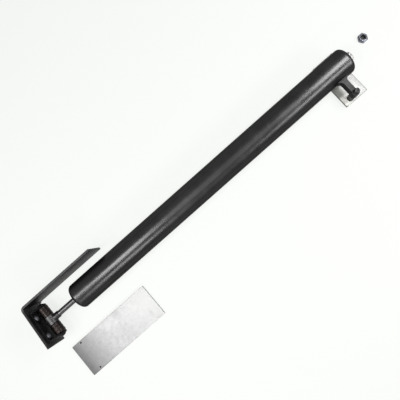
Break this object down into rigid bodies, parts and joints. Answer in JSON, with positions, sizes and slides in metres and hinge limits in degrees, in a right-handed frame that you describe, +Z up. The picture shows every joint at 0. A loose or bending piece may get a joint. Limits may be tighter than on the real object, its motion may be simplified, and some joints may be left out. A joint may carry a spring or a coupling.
{
  "type": "pneumatic door closer",
  "caption": "Black tube closer with a sprung air-damped rod, a bent strip bracket on the rod end, a stud-pivot plate bracket, a loose weld plate and a loose lock nut.",
  "frame": {"origin": "where the axis of the pivot stud meets the mounting face of the post plate", "axes": "+X along the tube from the rod end towards the closed end, +Y from the stud towards the tube and the gate bracket's long leg, +Z up off the surface the part lies on, along the stud"},
  "size_m": [0.6178, 0.1346, 0.0508],
  "materials": {
    "black_paint": "satin baked paint",
    "zinc_plate": "bright zinc plating",
    "rod_steel": "ground steel",
    "dark_steel": "oiled black steel",
    "bolt_steel": "bright zinc plating, worn",
    "spring_steel": "drawn spring wire",
    "bush_bronze": "oiled sintered bronze",
    "plug_alloy": "black anodised",
    "piston_resin": "moulded acetal",
    "seal_rubber": "black nitrile",
    "insert_nylon": "dark nylon"
  },
  "bodies": {
    "cylinder": {"cylinder_tube": "black_paint", "end_plug": "plug_alloy", "rod_guide": "plug_alloy", "end_plug_o_ring": "seal_rubber", "rod_guide_o_ring": "seal_rubber", "rod_seal": "seal_rubber", "spring_seat": "zinc_plate", "return_spring": "spring_steel", "screw_washer": "bolt_steel", "pivot_arm": "black_paint"},
    "adjuster": {"speed_screw": "zinc_plate"},
    "piston_group": {"piston": "piston_resin", "piston_cup": "seal_rubber"},
    "rod_group": {"piston_rod": "rod_steel", "piston_washer": "zinc_plate", "piston_nut": "bolt_steel", "rod_eye": "rod_steel"},
    "gate_side": {"gate_bracket": "black_paint", "clevis": "black_paint", "clevis_rivets": "bolt_steel", "pivot_bushes": "bush_bronze", "pivot_bolt": "bolt_steel", "pivot_nut": "bolt_steel"},
    "post_side": {"post_plate": "zinc_plate", "pivot_stud": "dark_steel", "stud_sleeve": "dark_steel"},
    "loose_plate": {"weld_plate": "zinc_plate"},
    "loose_nut": {"stud_lock_nut": "bolt_steel", "lock_nut_insert": "insert_nylon"}
  },
  "joints": [
    {"name": "rod_slide", "type": "slide", "parent": "cylinder", "child": "piston_group", "axis": [-1, 0, 0], "range_m": [0, 0.22], "stiffness_N_per_m": 250, "springref_m": -0.08, "deforming": ["return_spring"]},
    {"name": "rod_swivel", "type": "hinge", "parent": "piston_group", "child": "rod_group", "pos_m": [-0.03, 0.0425, 0.0254], "axis": [1, 0, 0], "continuous": true},
    {"name": "gate_pivot", "type": "hinge", "parent": "rod_group", "child": "gate_side", "pos_m": [-0.521, 0.0425, 0.0254], "axis": [0, 1, 0], "range_deg": [-90, 90]},
    {"name": "post_pivot", "type": "hinge", "parent": "cylinder", "child": "post_side", "pos_m": [0, 0, 0.0254], "axis": [0, 0, 1], "continuous": true},
    {"name": "speed_turn", "type": "hinge", "parent": "cylinder", "child": "adjuster", "pos_m": [0.025, 0.0425, 0.0254], "axis": [1, 0, 0], "range_deg": [-360, 360]},
    {"name": "weld_plate_lift", "type": "slide", "parent": "cylinder", "child": "loose_plate", "axis": [0, 0, 1], "range_m": [0, 0.1]},
    {"name": "lock_nut_lift", "type": "slide", "parent": "cylinder", "child": "loose_nut", "axis": [0, 0, 1], "range_m": [0, 0.1]}
  ]
}
